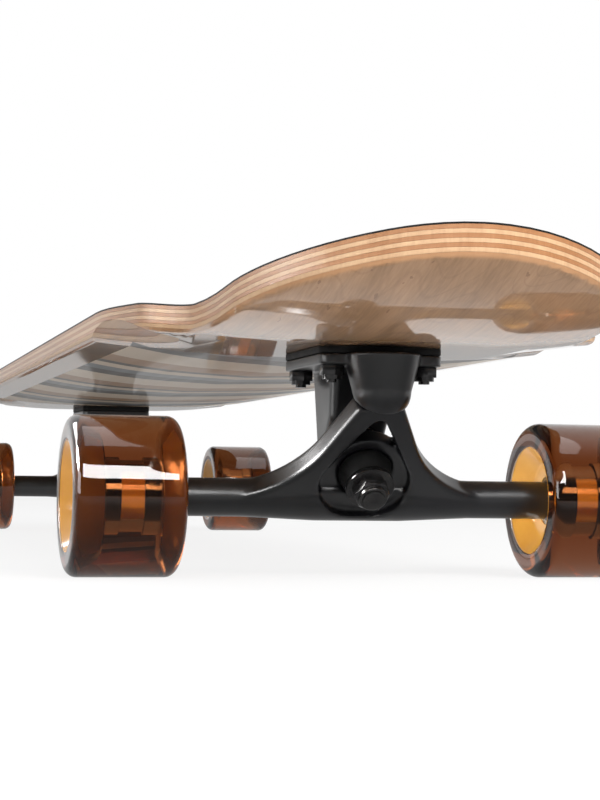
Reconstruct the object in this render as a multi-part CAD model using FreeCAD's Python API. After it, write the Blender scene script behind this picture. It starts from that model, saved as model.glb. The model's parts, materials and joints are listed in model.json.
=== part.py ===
# Longboard skateboard: a pressed seven-ply deck on two reverse-kingpin trucks with four soft wheels.
# Millimetres and degrees. +X is the nose, +Y the left side and +Z up.
# The origin is on the ground, under the middle of the board.
import FreeCAD, Part
import math
import os

# Clearances
cut_overrun = 5.0
glue_gap = 0.1
stack_gap = 0.05
running_clearance = 0.06
soft_gap = 0.3

# Wheels
wheel_base = 744.0
wheel_diameter = 70.0
wheel_width = 48.0
wheel_edge_radius = 5.0
wheel_face_radius = 27.0
wheel_offset = 2.6
core_dish_radius = 25.3
core_dish_inset = 0.6
core_hub_radius = 17.5
core_body_radius = 19.5
core_rib_radius = 21.5
core_rib_width = 3.0
core_rib_count = 3
core_lip = 0.5
core_shoulder_height = 1.5

# Ball bearings of the common 8 x 22 x 7 size
bearing_bore_radius = 4.0
bearing_outer_radius = 11.0
bearing_width = 7.0
bearing_ring_thickness = 1.75
ball_radius = 1.98
ball_count = 7
shield_thickness = 0.4
spacer_length = 10.0
spacer_wall = 1.4

# Axle and its hardware
axle_radius = 3.95
hanger_length = 180.0
speed_washer_radius = 6.4
speed_washer_thickness = 0.8
axle_nut_flats = 12.7
axle_nut_height = 7.9
axle_nut_collar_share = 0.25
axle_end_show = 1.6

# Truck: steering axis, hanger frame and pivot
truck_height = 62.0
steer_axis_angle = 50.0
hanger_tube_radius = 8.5
hanger_middle_radius = 10.0
hanger_middle_half_length = 20.0
hanger_taper_half_length = 52.0
frame_front = 7.0
frame_back = 5.0
frame_top_half_width = 10.0
frame_foot_half_width = 32.0
frame_foot_height = 9.5
frame_foot_radius = 50.0
frame_toe_half_width = 72.0
frame_toe_height = 3.5
frame_toe_drop = 3.0
frame_top_radius = 3.0
frame_edge_radius = 2.0
frame_mouth_gap = 1.4
window_bridge = 5.5
window_half_width = 32.0
window_top_radius = 3.5
window_foot_radius = 16.0
window_drop = 2.4
axle_cover = 1.4
web_radius = 17.5
web_top_height = 20.0
web_front = 3.0
seat_radius = 12.4
seat_depth = 1.5
kingpin_hole_radius = 8.5
pivot_nose_radius = 7.0
pivot_nose_depth = 10.0
pivot_neck_radius = 9.5
pivot_neck_length = 13.0

# Truck: kingpin, bushings and washers
kingpin_height = 18.0
kingpin_radius = 4.76
kingpin_head_radius = 7.2
kingpin_head_height = 6.0
kingpin_end_show = 0.6
kingpin_nut_flats = 14.3
kingpin_nut_height = 5.2
nut_bevel_share = 0.25
kingpin_nut_collar_height = 2.0
kingpin_nut_collar_wall = 1.5
kingpin_nut_collar_round = 0.6
bushing_radius = 12.0
bushing_end_radius = 9.3
boardside_bushing_height = 12.0
roadside_bushing_height = 11.0
cup_washer_radius = 10.8
cup_washer_thickness = 1.5
cup_washer_lip = 1.2
cup_washer_wall = 1.2

# Truck: baseplate with its pivot boss and kingpin tower
baseplate_length = 70.0
baseplate_width = 54.5
baseplate_thickness = 4.8
baseplate_corner_radius = 6.0
baseplate_reach = 6.0
boss_drop = 13.5
boss_wall = 3.2
boss_root_radius = 17.0
pivot_cup_wall = 2.4
tower_width = 27.5
tower_seat_radius = 12.6
tower_depth = 12.0
tower_back_reach = 28.5
tower_front_reach = 8.0
tower_corner_radius = 4.0
tower_edge_radius = 3.5

# Deck hardware: 10-32 bolts on the standard four-hole pattern
bolt_spacing_long = 53.98
bolt_spacing_wide = 41.28
bolt_radius = 2.4
bolt_hole_clearance = 0.25
bolt_head_radius = 4.7
bolt_socket_flats = 3.2
bolt_socket_depth = 1.6
bolt_end_show = 1.3
lock_nut_flats = 9.5
lock_nut_height = 4.4
lock_nut_collar_height = 1.7
lock_nut_collar_radius = 4.3
riser_thickness = 3.2

# Deck: plan outline, pressed form and edges
deck_half_width = 111.5
nose_half_width = 80.3
nose_overhang = 167.0
nose_round_length = 69.0
nose_fullness_share = 0.75
side_end_place = -22.0
side_end_radius = 260.0
shoulder_outer_place = 29.0
shoulder_outer_radius = 22.0
shoulder_outer_share = 0.72
shoulder_length = 17.0
shoulder_inner_radius = 28.0
shoulder_inner_share = 0.18
ply_count = 7
ply_thickness = 1.45
grip_thickness = 0.6
deck_flat_half_width = 34.0
concave_radius = 495.0
kick_margin = 8.0
kick_radius = 295.0
edge_round_radius = 4.0
wheel_well_radius = 212.0
wheel_well_depth = 6.5
wheel_well_width = 40.0
wheel_well_offset = -14.0

# Worked out from the sizes above
wheel_radius = wheel_diameter / 2
axle_x = wheel_base / 2
half_hanger = hanger_length / 2
steer_angle = math.radians(steer_axis_angle)
plate_top = truck_height
plate_bottom = truck_height - baseplate_thickness
pivot_mouth = (plate_bottom - boss_drop) / math.sin(steer_angle)
pivot_ball = pivot_mouth + pivot_nose_depth - pivot_nose_radius
pivot_cup_bore = pivot_nose_radius + running_clearance
pivot_cup_radius = pivot_cup_bore + pivot_cup_wall
frame_top = pivot_mouth - frame_mouth_gap
front_seat = web_front - seat_depth
back_seat = seat_depth - frame_back
deck_bottom = wheel_radius + truck_height + riser_thickness
deck_thickness = ply_count * ply_thickness + (ply_count - 1) * glue_gap
board_top = deck_thickness + glue_gap + grip_thickness
nose_tip = axle_x + nose_overhang
nose_round_start = nose_tip - nose_round_length
kick_start = axle_x + baseplate_reach + baseplate_length / 2 + kick_margin
ball_ring_radius = (bearing_bore_radius + bearing_outer_radius) / 2
inner_race = half_hanger + speed_washer_thickness + 2 * stack_gap
outer_race = inner_race + bearing_width + spacer_length + 2 * stack_gap
wheel_middle = (inner_race + outer_race + bearing_width) / 2 + wheel_offset
axle_nut_start = outer_race + bearing_width + speed_washer_thickness + 2 * stack_gap
bolt_head_height = bolt_head_radius - bolt_radius
bolt_hole_radius = bolt_radius + bolt_hole_clearance
seat_to_tower = back_seat - 2 * soft_gap - boardside_bushing_height - cup_washer_thickness - stack_gap
road_washer_start = front_seat + 2 * soft_gap + roadside_bushing_height
kingpin_nut_start = road_washer_start + cup_washer_thickness + stack_gap

Vector = FreeCAD.Vector
origin = Vector(0, 0, 0)
across = Vector(1, 0, 0)
along = Vector(0, 1, 0)
upward = Vector(0, 0, 1)


def rounded_edges(corners, closed):
    """Lines through flat corners (a, b, radius), with a tangent arc in place of each rounded corner."""
    points = [Vector(a, b, 0) for a, b, radius in corners]
    count = len(points)
    stops = []
    for index, corner in enumerate(corners):
        point = points[index]
        radius = corner[2]
        if radius == 0:
            stops.append((point, None, point))
            continue
        back = (points[index - 1] - point).normalize()
        ahead = (points[(index + 1) % count] - point).normalize()
        half_turn = back.getAngle(ahead) / 2
        inward = (back + ahead).normalize()
        reach = radius / math.tan(half_turn)
        middle = point + inward * (radius / math.sin(half_turn) - radius)
        stops.append((point + back * reach, middle, point + ahead * reach))
    edges = []
    for index, (start, middle, end) in enumerate(stops):
        if middle is not None:
            edges.append(Part.Arc(start, middle, end).toShape())
        if index < count - 1 or closed:
            edges.append(Part.makeLine(end, stops[(index + 1) % count][0]))
    return edges


def rounded_face(corners):
    """Flat face inside a closed outline with rounded corners."""
    return Part.Face(Part.Wire(rounded_edges(corners, True)))


def turned(corners):
    """Solid of revolution about Y from corners (place along Y, radius, corner rounding)."""
    face = rounded_face([(radius, place, rounding) for place, radius, rounding in corners])
    return face.revolve(origin, along, 360)


def tube_along(outer_radius, inner_radius, start, length):
    """Straight tube or washer about the Y axis."""
    outer = Part.makeCylinder(outer_radius, length, along * start, along)
    bore = Part.makeCylinder(inner_radius, length + 2 * cut_overrun, along * (start - cut_overrun), along)
    return outer.cut(bore)


def hexagon(flats, height, base, direction):
    """Hexagonal prism standing on its base point."""
    corner_radius = flats / math.sqrt(3)
    turns = [math.radians(60 * side) for side in range(6)]
    ring = [Vector(corner_radius * math.cos(turn), corner_radius * math.sin(turn), 0) for turn in turns]
    prism = Part.Face(Part.makePolygon(ring + ring[:1])).extrude(upward * height)
    prism.Placement = FreeCAD.Placement(base, FreeCAD.Rotation(upward, direction))
    return prism


def on_truck(shape):
    """Bring a shape from truck directions to the front axle.

    They are across, along the steering axis and along the kingpin.
    """
    cosine = math.cos(steer_angle)
    sine = math.sin(steer_angle)
    turn = FreeCAD.Matrix(
        0, cosine, sine, axle_x,
        1, 0, 0, 0,
        0, sine, -cosine, wheel_radius,
        0, 0, 0, 1)
    placed = shape.copy()
    placed.Placement = FreeCAD.Placement(turn).multiply(placed.Placement)
    return placed


def to_rear(shape):
    """The same piece on the rear truck, half a turn about the middle of the board."""
    turned_shape = shape.copy()
    turned_shape.rotate(origin, upward, 180)
    return turned_shape


def kingpin_rod(radius, start, end):
    """Cylinder on the kingpin axis, in truck directions."""
    return Part.makeCylinder(radius, end - start, Vector(0, kingpin_height, start), upward)


def deck_outline():
    """Plan outline: parallel sides, S-shaped shoulders over the wheels, and a rounded nose and tail."""
    step_in = deck_half_width - nose_half_width
    outer_half_width = nose_half_width + step_in * shoulder_outer_share
    inner_half_width = nose_half_width + step_in * shoulder_inner_share
    outer_x = axle_x + shoulder_outer_place
    inner_x = outer_x + shoulder_length
    front_side = [
        (nose_round_start, nose_half_width, 0),
        (inner_x, inner_half_width, shoulder_inner_radius),
        (outer_x, outer_half_width, shoulder_outer_radius),
        (axle_x + side_end_place, deck_half_width, side_end_radius)]
    side = front_side + [(-x, y, radius) for x, y, radius in reversed(front_side)]
    left_side = rounded_edges(side, False)
    right_side = rounded_edges([(-x, -y, radius) for x, y, radius in side], False)
    narrowing = (inner_half_width - nose_half_width) / (nose_round_start - inner_x)
    corner_y = nose_half_width - narrowing * nose_round_length
    tip = Vector(nose_tip, 0, 0)
    right_poles = [Vector(nose_round_start, -nose_half_width, 0), Vector(nose_tip, -corner_y, 0), tip]
    left_poles = [tip, Vector(nose_tip, corner_y, 0), Vector(nose_round_start, nose_half_width, 0)]
    nose = []
    for poles in (right_poles, left_poles):
        sweep = Part.BezierCurve()
        sweep.setPoles(poles)
        sweep.setWeight(2, nose_fullness_share)
        nose.append(sweep.toShape())
    tail = [to_rear(edge) for edge in nose]
    return Part.Wire(nose + left_side + tail + right_side)


def pressed_section(low, high):
    """Cross-section of the pressed form between two heights: a flat middle and two sides curving up."""
    curved_width = deck_half_width + 2 * cut_overrun - deck_flat_half_width
    reach = math.asin(curved_width / (concave_radius - board_top))
    centre = deck_bottom + concave_radius

    def rim(height, side, angle):
        radius = concave_radius - height
        y = side * (deck_flat_half_width + radius * math.sin(angle))
        return Vector(-kick_start, y, centre - radius * math.cos(angle))

    def sweep(height, side):
        stops = [rim(height, side, angle) for angle in (0, reach / 2, reach)]
        return Part.Arc(*stops).toShape()

    edges = []
    for height in (low, high):
        edges.append(Part.makeLine(rim(height, -1, 0), rim(height, 1, 0)))
        edges.append(sweep(height, -1))
        edges.append(sweep(height, 1))
    for side in (-1, 1):
        edges.append(Part.makeLine(rim(low, side, reach), rim(high, side, reach)))
    return Part.Face(Part.Wire(Part.__sortEdges__(edges)))


def pressed_sheet(low, high):
    """Sheet of the pressed form: straight between the trucks, rolled up at the nose and the tail."""
    section = pressed_section(low, high)
    middle = section.extrude(across * (2 * kick_start))
    turn = math.degrees(math.asin((nose_tip + 2 * cut_overrun - kick_start) / (kick_radius - board_top)))
    tail = section.revolve(Vector(-kick_start, 0, deck_bottom + kick_radius), along, turn)
    return middle.fuse([tail, to_rear(tail)]).removeSplitter()


def height_in_board(point):
    """Height of a point above the underside of the pressed form, square to the form."""
    height = point.z - deck_bottom
    past_kick = abs(point.x) - kick_start
    if past_kick > 0:
        height = kick_radius - math.hypot(past_kick, kick_radius - height)
    past_flat = abs(point.y) - deck_flat_half_width
    if past_flat > 0:
        height = concave_radius - math.hypot(past_flat, concave_radius - height)
    return height


def wheel_wells():
    """Four scoops over the wheels, each a large cylinder that leaves the underside at its inner end."""
    inner_y = deck_half_width - wheel_well_width

    def underside(y):
        past_flat = y - deck_flat_half_width
        return deck_bottom + concave_radius - math.sqrt(concave_radius ** 2 - past_flat ** 2)

    well_x = axle_x + wheel_well_offset
    inner = Vector(well_x, inner_y, underside(inner_y))
    outer = Vector(well_x, deck_half_width, underside(deck_half_width) + wheel_well_depth)
    slope = (outer - inner).normalize()
    down = slope.cross(across)
    start = inner - slope * wheel_well_width + down * wheel_well_radius
    well = Part.makeCylinder(wheel_well_radius, 3 * wheel_well_width, start, slope)
    mirrored = well.mirror(origin, along)
    return [well, mirrored, to_rear(well), to_rear(mirrored)]


def bolt_places():
    """Centres of the eight deck bolts."""
    places = []
    for end in (1, -1):
        for step in (1, -1):
            for side in (1, -1):
                x = end * (axle_x + baseplate_reach + step * bolt_spacing_long / 2)
                places.append((x, side * bolt_spacing_wide / 2))
    return places


def bolt_holes():
    """Countersunk bolt holes from the top of the grip tape to below the baseplates."""
    top = deck_bottom + board_top
    depth = board_top + riser_thickness + baseplate_thickness
    holes = []
    for x, y in bolt_places():
        start = Vector(x, y, top - depth - cut_overrun)
        shaft = Part.makeCylinder(bolt_hole_radius, depth + 2 * cut_overrun, start)
        sink = Part.makeCone(
            bolt_hole_radius, bolt_head_radius + bolt_hole_clearance, bolt_head_height,
            Vector(x, y, top - bolt_head_height))
        holes.append(shaft.fuse(sink))
    return holes


def deck_layers():
    """The plies from the underside up, then the grip tape, all cut to one outline."""
    outline = Part.Face(deck_outline())
    blank = outline.extrude(upward * (2 * deck_bottom))
    board = pressed_sheet(0, deck_thickness).common(blank)
    low_edges = []
    for edge in board.Edges:
        middle = edge.valueAt((edge.FirstParameter + edge.LastParameter) / 2)
        inside = blank.isInside(middle, running_clearance, False)
        if abs(height_in_board(middle)) < glue_gap and not inside:
            low_edges.append(edge)
    board = board.makeFillet(edge_round_radius, low_edges)
    board = board.cut(wheel_wells())
    holes = bolt_holes()
    board = board.cut(holes)
    layers = {}
    for ply in range(ply_count):
        low = ply * (ply_thickness + glue_gap)
        high = low + ply_thickness
        if ply == 0:
            low = -cut_overrun
        if ply == ply_count - 1:
            high = deck_thickness + cut_overrun
        layers["deck_ply_%d" % (ply + 1)] = board.common(pressed_sheet(low, high))
    grip = pressed_sheet(deck_thickness + glue_gap, board_top).common(blank)
    layers["grip_tape"] = grip.cut(holes)
    return layers


def deck_bolts():
    """Eight countersunk bolts with a hexagon socket."""
    top = deck_bottom + board_top
    length = board_top + riser_thickness + baseplate_thickness
    length += lock_nut_height + lock_nut_collar_height + bolt_end_show
    bolts = []
    for x, y in bolt_places():
        shank = Part.makeCylinder(bolt_radius, length, Vector(x, y, top - length))
        head = Part.makeCone(
            bolt_radius, bolt_head_radius, bolt_head_height, Vector(x, y, top - bolt_head_height))
        socket_end = Vector(x, y, top - bolt_socket_depth)
        socket = hexagon(bolt_socket_flats, bolt_socket_depth + cut_overrun, socket_end, upward)
        bolts.append(shank.fuse(head).cut(socket))
    return Part.makeCompound(bolts)


def deck_lock_nuts():
    """Eight lock nuts under the baseplates, each with its round collar downwards."""
    seat = wheel_radius + plate_bottom - stack_gap
    nuts = []
    for x, y in bolt_places():
        body = hexagon(lock_nut_flats, lock_nut_height, Vector(x, y, seat - lock_nut_height), upward)
        collar = Part.makeCylinder(
            lock_nut_collar_radius, lock_nut_collar_height,
            Vector(x, y, seat - lock_nut_height - lock_nut_collar_height))
        bore = Part.makeCylinder(
            bolt_radius + running_clearance, 2 * cut_overrun + lock_nut_height + lock_nut_collar_height,
            Vector(x, y, seat - lock_nut_height - lock_nut_collar_height - cut_overrun))
        nuts.append(body.fuse(collar).cut(bore))
    return Part.makeCompound(nuts)


def plate_blank(bottom, thickness):
    """Rounded plate of the baseplate's plan, standing on a height over the axle."""
    half_length = baseplate_length / 2
    half_width = baseplate_width / 2
    middle = axle_x + baseplate_reach
    corners = []
    for end, side in ((1, 1), (-1, 1), (-1, -1), (1, -1)):
        corners.append((middle + end * half_length, side * half_width, baseplate_corner_radius))
    plate = rounded_face(corners).extrude(upward * thickness)
    plate.translate(upward * (wheel_radius + bottom))
    return plate


def front_riser():
    """Rubber riser pad between the deck and the baseplate."""
    return plate_blank(plate_top + stack_gap, riser_thickness - 2 * stack_gap).cut(bolt_holes())


def kingpin_tower():
    """Tower that carries the kingpin: a side profile with its seat square to the kingpin."""
    root = plate_bottom + baseplate_thickness / 2
    cosine = math.cos(steer_angle)
    sine = math.sin(steer_angle)

    def side_point(height, depth, rounding):
        return (height * cosine + depth * sine, height * sine - depth * cosine, rounding)

    low = kingpin_height - tower_seat_radius
    high = kingpin_height + tower_seat_radius
    corners = [
        (-tower_back_reach, root, 0),
        side_point(low, seat_to_tower - tower_depth, tower_corner_radius),
        side_point(low, seat_to_tower, tower_corner_radius),
        side_point(high, seat_to_tower, tower_corner_radius),
        (tower_front_reach, root, 0)]
    tower = rounded_face(corners).extrude(upward * tower_width)
    low_edges = []
    for edge in tower.Edges:
        level = all(abs(vertex.Z - edge.Vertexes[0].Z) < running_clearance for vertex in edge.Vertexes)
        at_root = all(abs(vertex.Y - root) < running_clearance for vertex in edge.Vertexes)
        if level and not at_root:
            low_edges.append(edge)
    tower = tower.makeFillet(tower_edge_radius, low_edges)
    tower.translate(upward * (-tower_width / 2))
    tower.rotate(origin, across, 90)
    tower.translate(Vector(axle_x, 0, wheel_radius))
    return tower


def round_ended_rod(radius, start, ball_place):
    """Rod on the steering axis from a start to a ball-shaped end, in truck directions."""
    rod = Part.makeCylinder(radius, ball_place - start, along * start, along)
    return rod.fuse(Part.makeSphere(radius, along * ball_place))


def pivot_boss():
    """Round bucket for the pivot cup, which widens into the plate and ends square to the steering axis."""
    radius = pivot_cup_radius + boss_wall
    centre = Vector(
        axle_x + pivot_ball * math.cos(steer_angle), 0, wheel_radius + pivot_ball * math.sin(steer_angle))
    root = wheel_radius + plate_top
    bucket = Part.makeCone(radius, boss_root_radius, root - centre.z, centre, upward)
    reach = 2 * boss_root_radius
    mouth = Part.makeCylinder(reach, reach, along * (pivot_mouth - reach), along)
    return bucket.fuse(Part.makeSphere(radius, centre)).cut(on_truck(mouth))


def front_baseplate():
    """Cast baseplate: plate, pivot boss toward the end of the board and kingpin tower toward the middle."""
    plate = plate_blank(plate_bottom, baseplate_thickness)
    body = plate.fuse([pivot_boss(), kingpin_tower()])
    cup_bore = round_ended_rod(pivot_cup_radius + stack_gap, pivot_mouth - cut_overrun, pivot_ball)
    head_seat = seat_to_tower - tower_depth
    pin_bore = kingpin_rod(kingpin_radius + stack_gap, head_seat - cut_overrun, seat_to_tower + cut_overrun)
    head_bore_radius = kingpin_head_radius + running_clearance
    head_bore = kingpin_rod(head_bore_radius, head_seat - baseplate_length, head_seat)
    below = Part.makeBox(
        2 * wheel_base, 2 * deck_half_width, truck_height,
        Vector(0, -deck_half_width, wheel_radius + plate_bottom - truck_height))
    head_pocket = on_truck(head_bore).common(below)
    body = body.cut([on_truck(cup_bore), on_truck(pin_bore), head_pocket])
    return body.cut(bolt_holes()).removeSplitter()


def front_pivot_cup():
    """Plastic cup that lines the pivot boss and holds the hanger's nose."""
    cup = round_ended_rod(pivot_cup_radius, pivot_mouth, pivot_ball)
    hollow = round_ended_rod(pivot_cup_bore, pivot_mouth - cut_overrun, pivot_ball)
    below = Part.makeCylinder(
        2 * pivot_cup_radius, 2 * pivot_cup_radius, along * (pivot_mouth - 2 * pivot_cup_radius), along)
    return on_truck(cup.cut([hollow, below]))


def frame_outline():
    """Corners of the hanger's A-shaped frame, across and along the steering axis."""
    right = [
        (frame_toe_half_width, -frame_toe_drop, 0),
        (frame_toe_half_width, frame_toe_height, 0),
        (frame_foot_half_width, frame_foot_height, frame_foot_radius),
        (frame_top_half_width, frame_top, frame_top_radius)]
    left = [(-across_place, height, radius) for across_place, height, radius in reversed(right)]
    return right + left


def window_outline():
    """Corners of the rounded triangular window in the hanger's frame."""
    rise = window_half_width / (frame_top - window_bridge + window_drop)
    half_angle = math.atan(rise)
    peak = frame_top - window_bridge + window_top_radius / math.sin(half_angle) - window_top_radius
    return [
        (window_half_width, -window_drop, window_foot_radius),
        (0, peak, window_top_radius),
        (-window_half_width, -window_drop, window_foot_radius)]


def hanger_tube():
    """Round beam for the axle, thicker in the middle."""
    return turned([
        (-half_hanger, 0, 0),
        (-half_hanger, hanger_tube_radius, 0),
        (-hanger_taper_half_length, hanger_tube_radius, 0),
        (-hanger_middle_half_length, hanger_middle_radius, 0),
        (hanger_middle_half_length, hanger_middle_radius, 0),
        (hanger_taper_half_length, hanger_tube_radius, 0),
        (half_hanger, hanger_tube_radius, 0),
        (half_hanger, 0, 0)])


def front_hanger():
    """Cast hanger: axle beam, A-shaped frame with its window, bushing web and pivot nose."""
    depth = frame_front + frame_back
    frame = rounded_face(frame_outline()).extrude(upward * depth)
    frame.translate(upward * -frame_back)
    rim = []
    for edge in frame.Edges:
        level = all(abs(vertex.Z - edge.Vertexes[0].Z) < running_clearance for vertex in edge.Vertexes)
        if level and edge.BoundBox.YMax > frame_toe_height + running_clearance:
            rim.append(edge)
    frame = frame.makeFillet(frame_edge_radius, rim)
    window = rounded_face(window_outline()).extrude(upward * (depth + 2 * cut_overrun))
    window.translate(upward * (-frame_back - cut_overrun))
    disc = kingpin_rod(web_radius, -frame_back, web_front)
    low_web = Part.makeBox(
        2 * window_half_width, web_top_height + window_drop, web_front + frame_back,
        Vector(-window_half_width, -window_drop, -frame_back))
    web = disc.fuse(low_web).common(window)
    tube = hanger_tube()
    tube.rotate(origin, upward, -90)
    neck_start = along * (frame_top - pivot_neck_length)
    neck = Part.makeCone(pivot_neck_radius, pivot_nose_radius, pivot_neck_length, neck_start, along)
    nose = round_ended_rod(pivot_nose_radius, frame_top - window_bridge / 2, pivot_ball - soft_gap)
    body = frame.fuse(neck).cut(window)
    body = body.fuse([web, tube, nose])
    opening = window.copy()
    opening.translate(upward * (frame_back + cut_overrun + axle_radius + axle_cover))
    reach = frame_front + frame_back + cut_overrun
    road_seat = kingpin_rod(seat_radius, front_seat, reach)
    board_seat = kingpin_rod(seat_radius, -reach, back_seat)
    pin_hole = kingpin_rod(kingpin_hole_radius, -reach, reach)
    hole_end = half_hanger + cut_overrun
    axle_hole = Part.makeCylinder(axle_radius + stack_gap, 2 * hole_end, across * -hole_end, across)
    body = body.cut([opening, road_seat, board_seat, pin_hole, axle_hole])
    return on_truck(body.removeSplitter())


def front_kingpin():
    """Kingpin with its head in the tower and its end past the nut."""
    head_end = seat_to_tower - tower_depth - stack_gap
    end = kingpin_nut_start + kingpin_nut_height + kingpin_nut_collar_height + kingpin_end_show
    head = kingpin_rod(kingpin_head_radius, head_end - kingpin_head_height, head_end)
    return on_truck(head.fuse(kingpin_rod(kingpin_radius, head_end - kingpin_head_height / 2, end)))


def front_kingpin_nut():
    """Hexagonal lock nut on the kingpin, with a round collar over its locking ring."""
    base = Vector(0, kingpin_height, kingpin_nut_start)
    nut = hexagon(kingpin_nut_flats, kingpin_nut_height, base, upward)
    corner_radius = kingpin_nut_flats / math.sqrt(3)
    crown_radius = corner_radius - kingpin_nut_height * nut_bevel_share
    crown = Part.makeCone(crown_radius + kingpin_nut_height, crown_radius, kingpin_nut_height, base)
    nut = nut.common(crown)
    collar_start = kingpin_nut_start + kingpin_nut_height
    collar_end = collar_start + kingpin_nut_collar_height
    collar = kingpin_rod(kingpin_radius + kingpin_nut_collar_wall, kingpin_nut_start, collar_end)
    top_edges = [edge for edge in collar.Edges if edge.BoundBox.ZMin > collar_start]
    collar = collar.makeFillet(kingpin_nut_collar_round, top_edges)
    bore_radius = kingpin_radius + stack_gap
    bore = kingpin_rod(bore_radius, kingpin_nut_start - cut_overrun, collar_end + cut_overrun)
    return on_truck(nut.fuse(collar).cut(bore))


def cup_washer(start, cup_side):
    """Cupped washer on the kingpin, whose lip turns toward the bushing."""
    end = start + cup_washer_thickness
    disc = kingpin_rod(cup_washer_radius, start, end)
    if cup_side < 0:
        lip_start = start - cup_washer_lip
        lip_end = end
    else:
        lip_start = start
        lip_end = end + cup_washer_lip
    lip = kingpin_rod(cup_washer_radius, lip_start, lip_end)
    hollow_radius = cup_washer_radius - cup_washer_wall
    hollow = kingpin_rod(hollow_radius, lip_start - cut_overrun, lip_end + cut_overrun)
    washer = disc.fuse(lip.cut(hollow))
    bore = kingpin_rod(kingpin_radius + stack_gap, start - cut_overrun, end + cut_overrun)
    return washer.cut(bore)


def front_kingpin_washers():
    """The boardside and roadside cup washers."""
    board_washer = cup_washer(seat_to_tower + stack_gap, 1)
    road_washer = cup_washer(road_washer_start, -1)
    return on_truck(Part.makeCompound([board_washer, road_washer]))


def bushing(seat, washer, height):
    """Rubber bushing: full size at the hanger's seat, tapered into the cup washer."""
    direction = 1 if washer > seat else -1
    start = Vector(0, kingpin_height, seat + direction * soft_gap)
    body = Part.makeCone(bushing_radius, bushing_end_radius, height, start, upward * direction)
    bore = kingpin_rod(kingpin_radius + soft_gap, -hanger_length, hanger_length)
    return on_truck(body.cut(bore))


def front_axle():
    """Axle rod through the hanger and both wheels."""
    half = axle_nut_start + axle_nut_height + axle_end_show
    rod = Part.makeCylinder(axle_radius, 2 * half, along * -half, along)
    rod.translate(Vector(axle_x, 0, wheel_radius))
    return rod


def axle_pieces(pieces):
    """Pieces drawn on the left half of an axle, copied to both ends of the front axle."""
    placed = []
    for piece in pieces:
        for end in (0, 180):
            copied = piece.copy()
            copied.rotate(origin, upward, end)
            copied.translate(Vector(axle_x, 0, wheel_radius))
            placed.append(copied)
    return Part.makeCompound(placed)


def axle_nut():
    """Lock nut on the end of the axle."""
    nut = hexagon(axle_nut_flats, axle_nut_height, along * axle_nut_start, along)
    collar_start = axle_nut_start + axle_nut_height * (1 - axle_nut_collar_share)
    collar = tube_along(axle_nut_flats, axle_nut_flats / 2, collar_start, axle_nut_height)
    bore_start = along * (axle_nut_start - cut_overrun)
    bore = Part.makeCylinder(axle_radius + stack_gap, axle_nut_height + 2 * cut_overrun, bore_start, along)
    return nut.cut([collar, bore])


def speed_washers():
    """Thin washers on both sides of a wheel's bearings."""
    inner = axle_radius + stack_gap
    near = tube_along(speed_washer_radius, inner, half_hanger + stack_gap, speed_washer_thickness)
    far_start = outer_race + bearing_width + stack_gap
    far = tube_along(speed_washer_radius, inner, far_start, speed_washer_thickness)
    return [near, far]


def bearing_spacer():
    """Tube that keeps the two inner rings apart."""
    inner = axle_radius + stack_gap
    return tube_along(inner + spacer_wall, inner, inner_race + bearing_width + stack_gap, spacer_length)


def race_groove(start):
    """Ring-shaped track in which the balls of one bearing roll."""
    middle = along * (start + bearing_width / 2)
    return Part.makeTorus(ball_ring_radius, ball_radius + running_clearance, middle, along)


def bearing_inner_ring(start):
    """Inner ring of one bearing."""
    outside_radius = bearing_bore_radius + bearing_ring_thickness
    ring = tube_along(outside_radius, bearing_bore_radius, start, bearing_width)
    return ring.cut(race_groove(start))


def bearing_outer_ring(start):
    """Outer ring of one bearing."""
    inside_radius = bearing_outer_radius - bearing_ring_thickness
    ring = tube_along(bearing_outer_radius, inside_radius, start, bearing_width)
    return ring.cut(race_groove(start))


def bearing_shields(start):
    """Two thin shields that close one bearing between its rings."""
    outer = bearing_outer_radius - bearing_ring_thickness - stack_gap
    inner = bearing_bore_radius + bearing_ring_thickness + soft_gap
    near = tube_along(outer, inner, start, shield_thickness)
    far = tube_along(outer, inner, start + bearing_width - shield_thickness, shield_thickness)
    return [near, far]


def bearing_balls(start):
    """The balls of one bearing."""
    balls = []
    for ball in range(ball_count):
        turn = 2 * math.pi * ball / ball_count
        out = Vector(math.cos(turn), 0, math.sin(turn)) * ball_ring_radius
        balls.append(Part.makeSphere(ball_radius, out + along * (start + bearing_width / 2)))
    return balls


def core_outside():
    """Outer profile of the wheel core between its two dishes, with ribs that key into the tyre."""
    near_face = wheel_middle - wheel_width / 2 + core_dish_inset
    far_face = wheel_middle + wheel_width / 2 - core_dish_inset
    near_hub = inner_race - core_lip + core_dish_inset
    far_hub = outer_race + bearing_width + core_lip - core_dish_inset
    profile = [(near_face, wheel_face_radius), (near_hub, core_body_radius)]
    step = (far_hub - near_hub) / core_rib_count
    for rib in range(core_rib_count):
        middle = near_hub + step * (rib + 1 / 2)
        profile.append((middle - core_rib_width / 2, core_body_radius))
        profile.append((middle - core_rib_width / 2, core_rib_radius))
        profile.append((middle + core_rib_width / 2, core_rib_radius))
        profile.append((middle + core_rib_width / 2, core_body_radius))
    return profile + [(far_hub, core_body_radius), (far_face, wheel_face_radius)]


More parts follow.
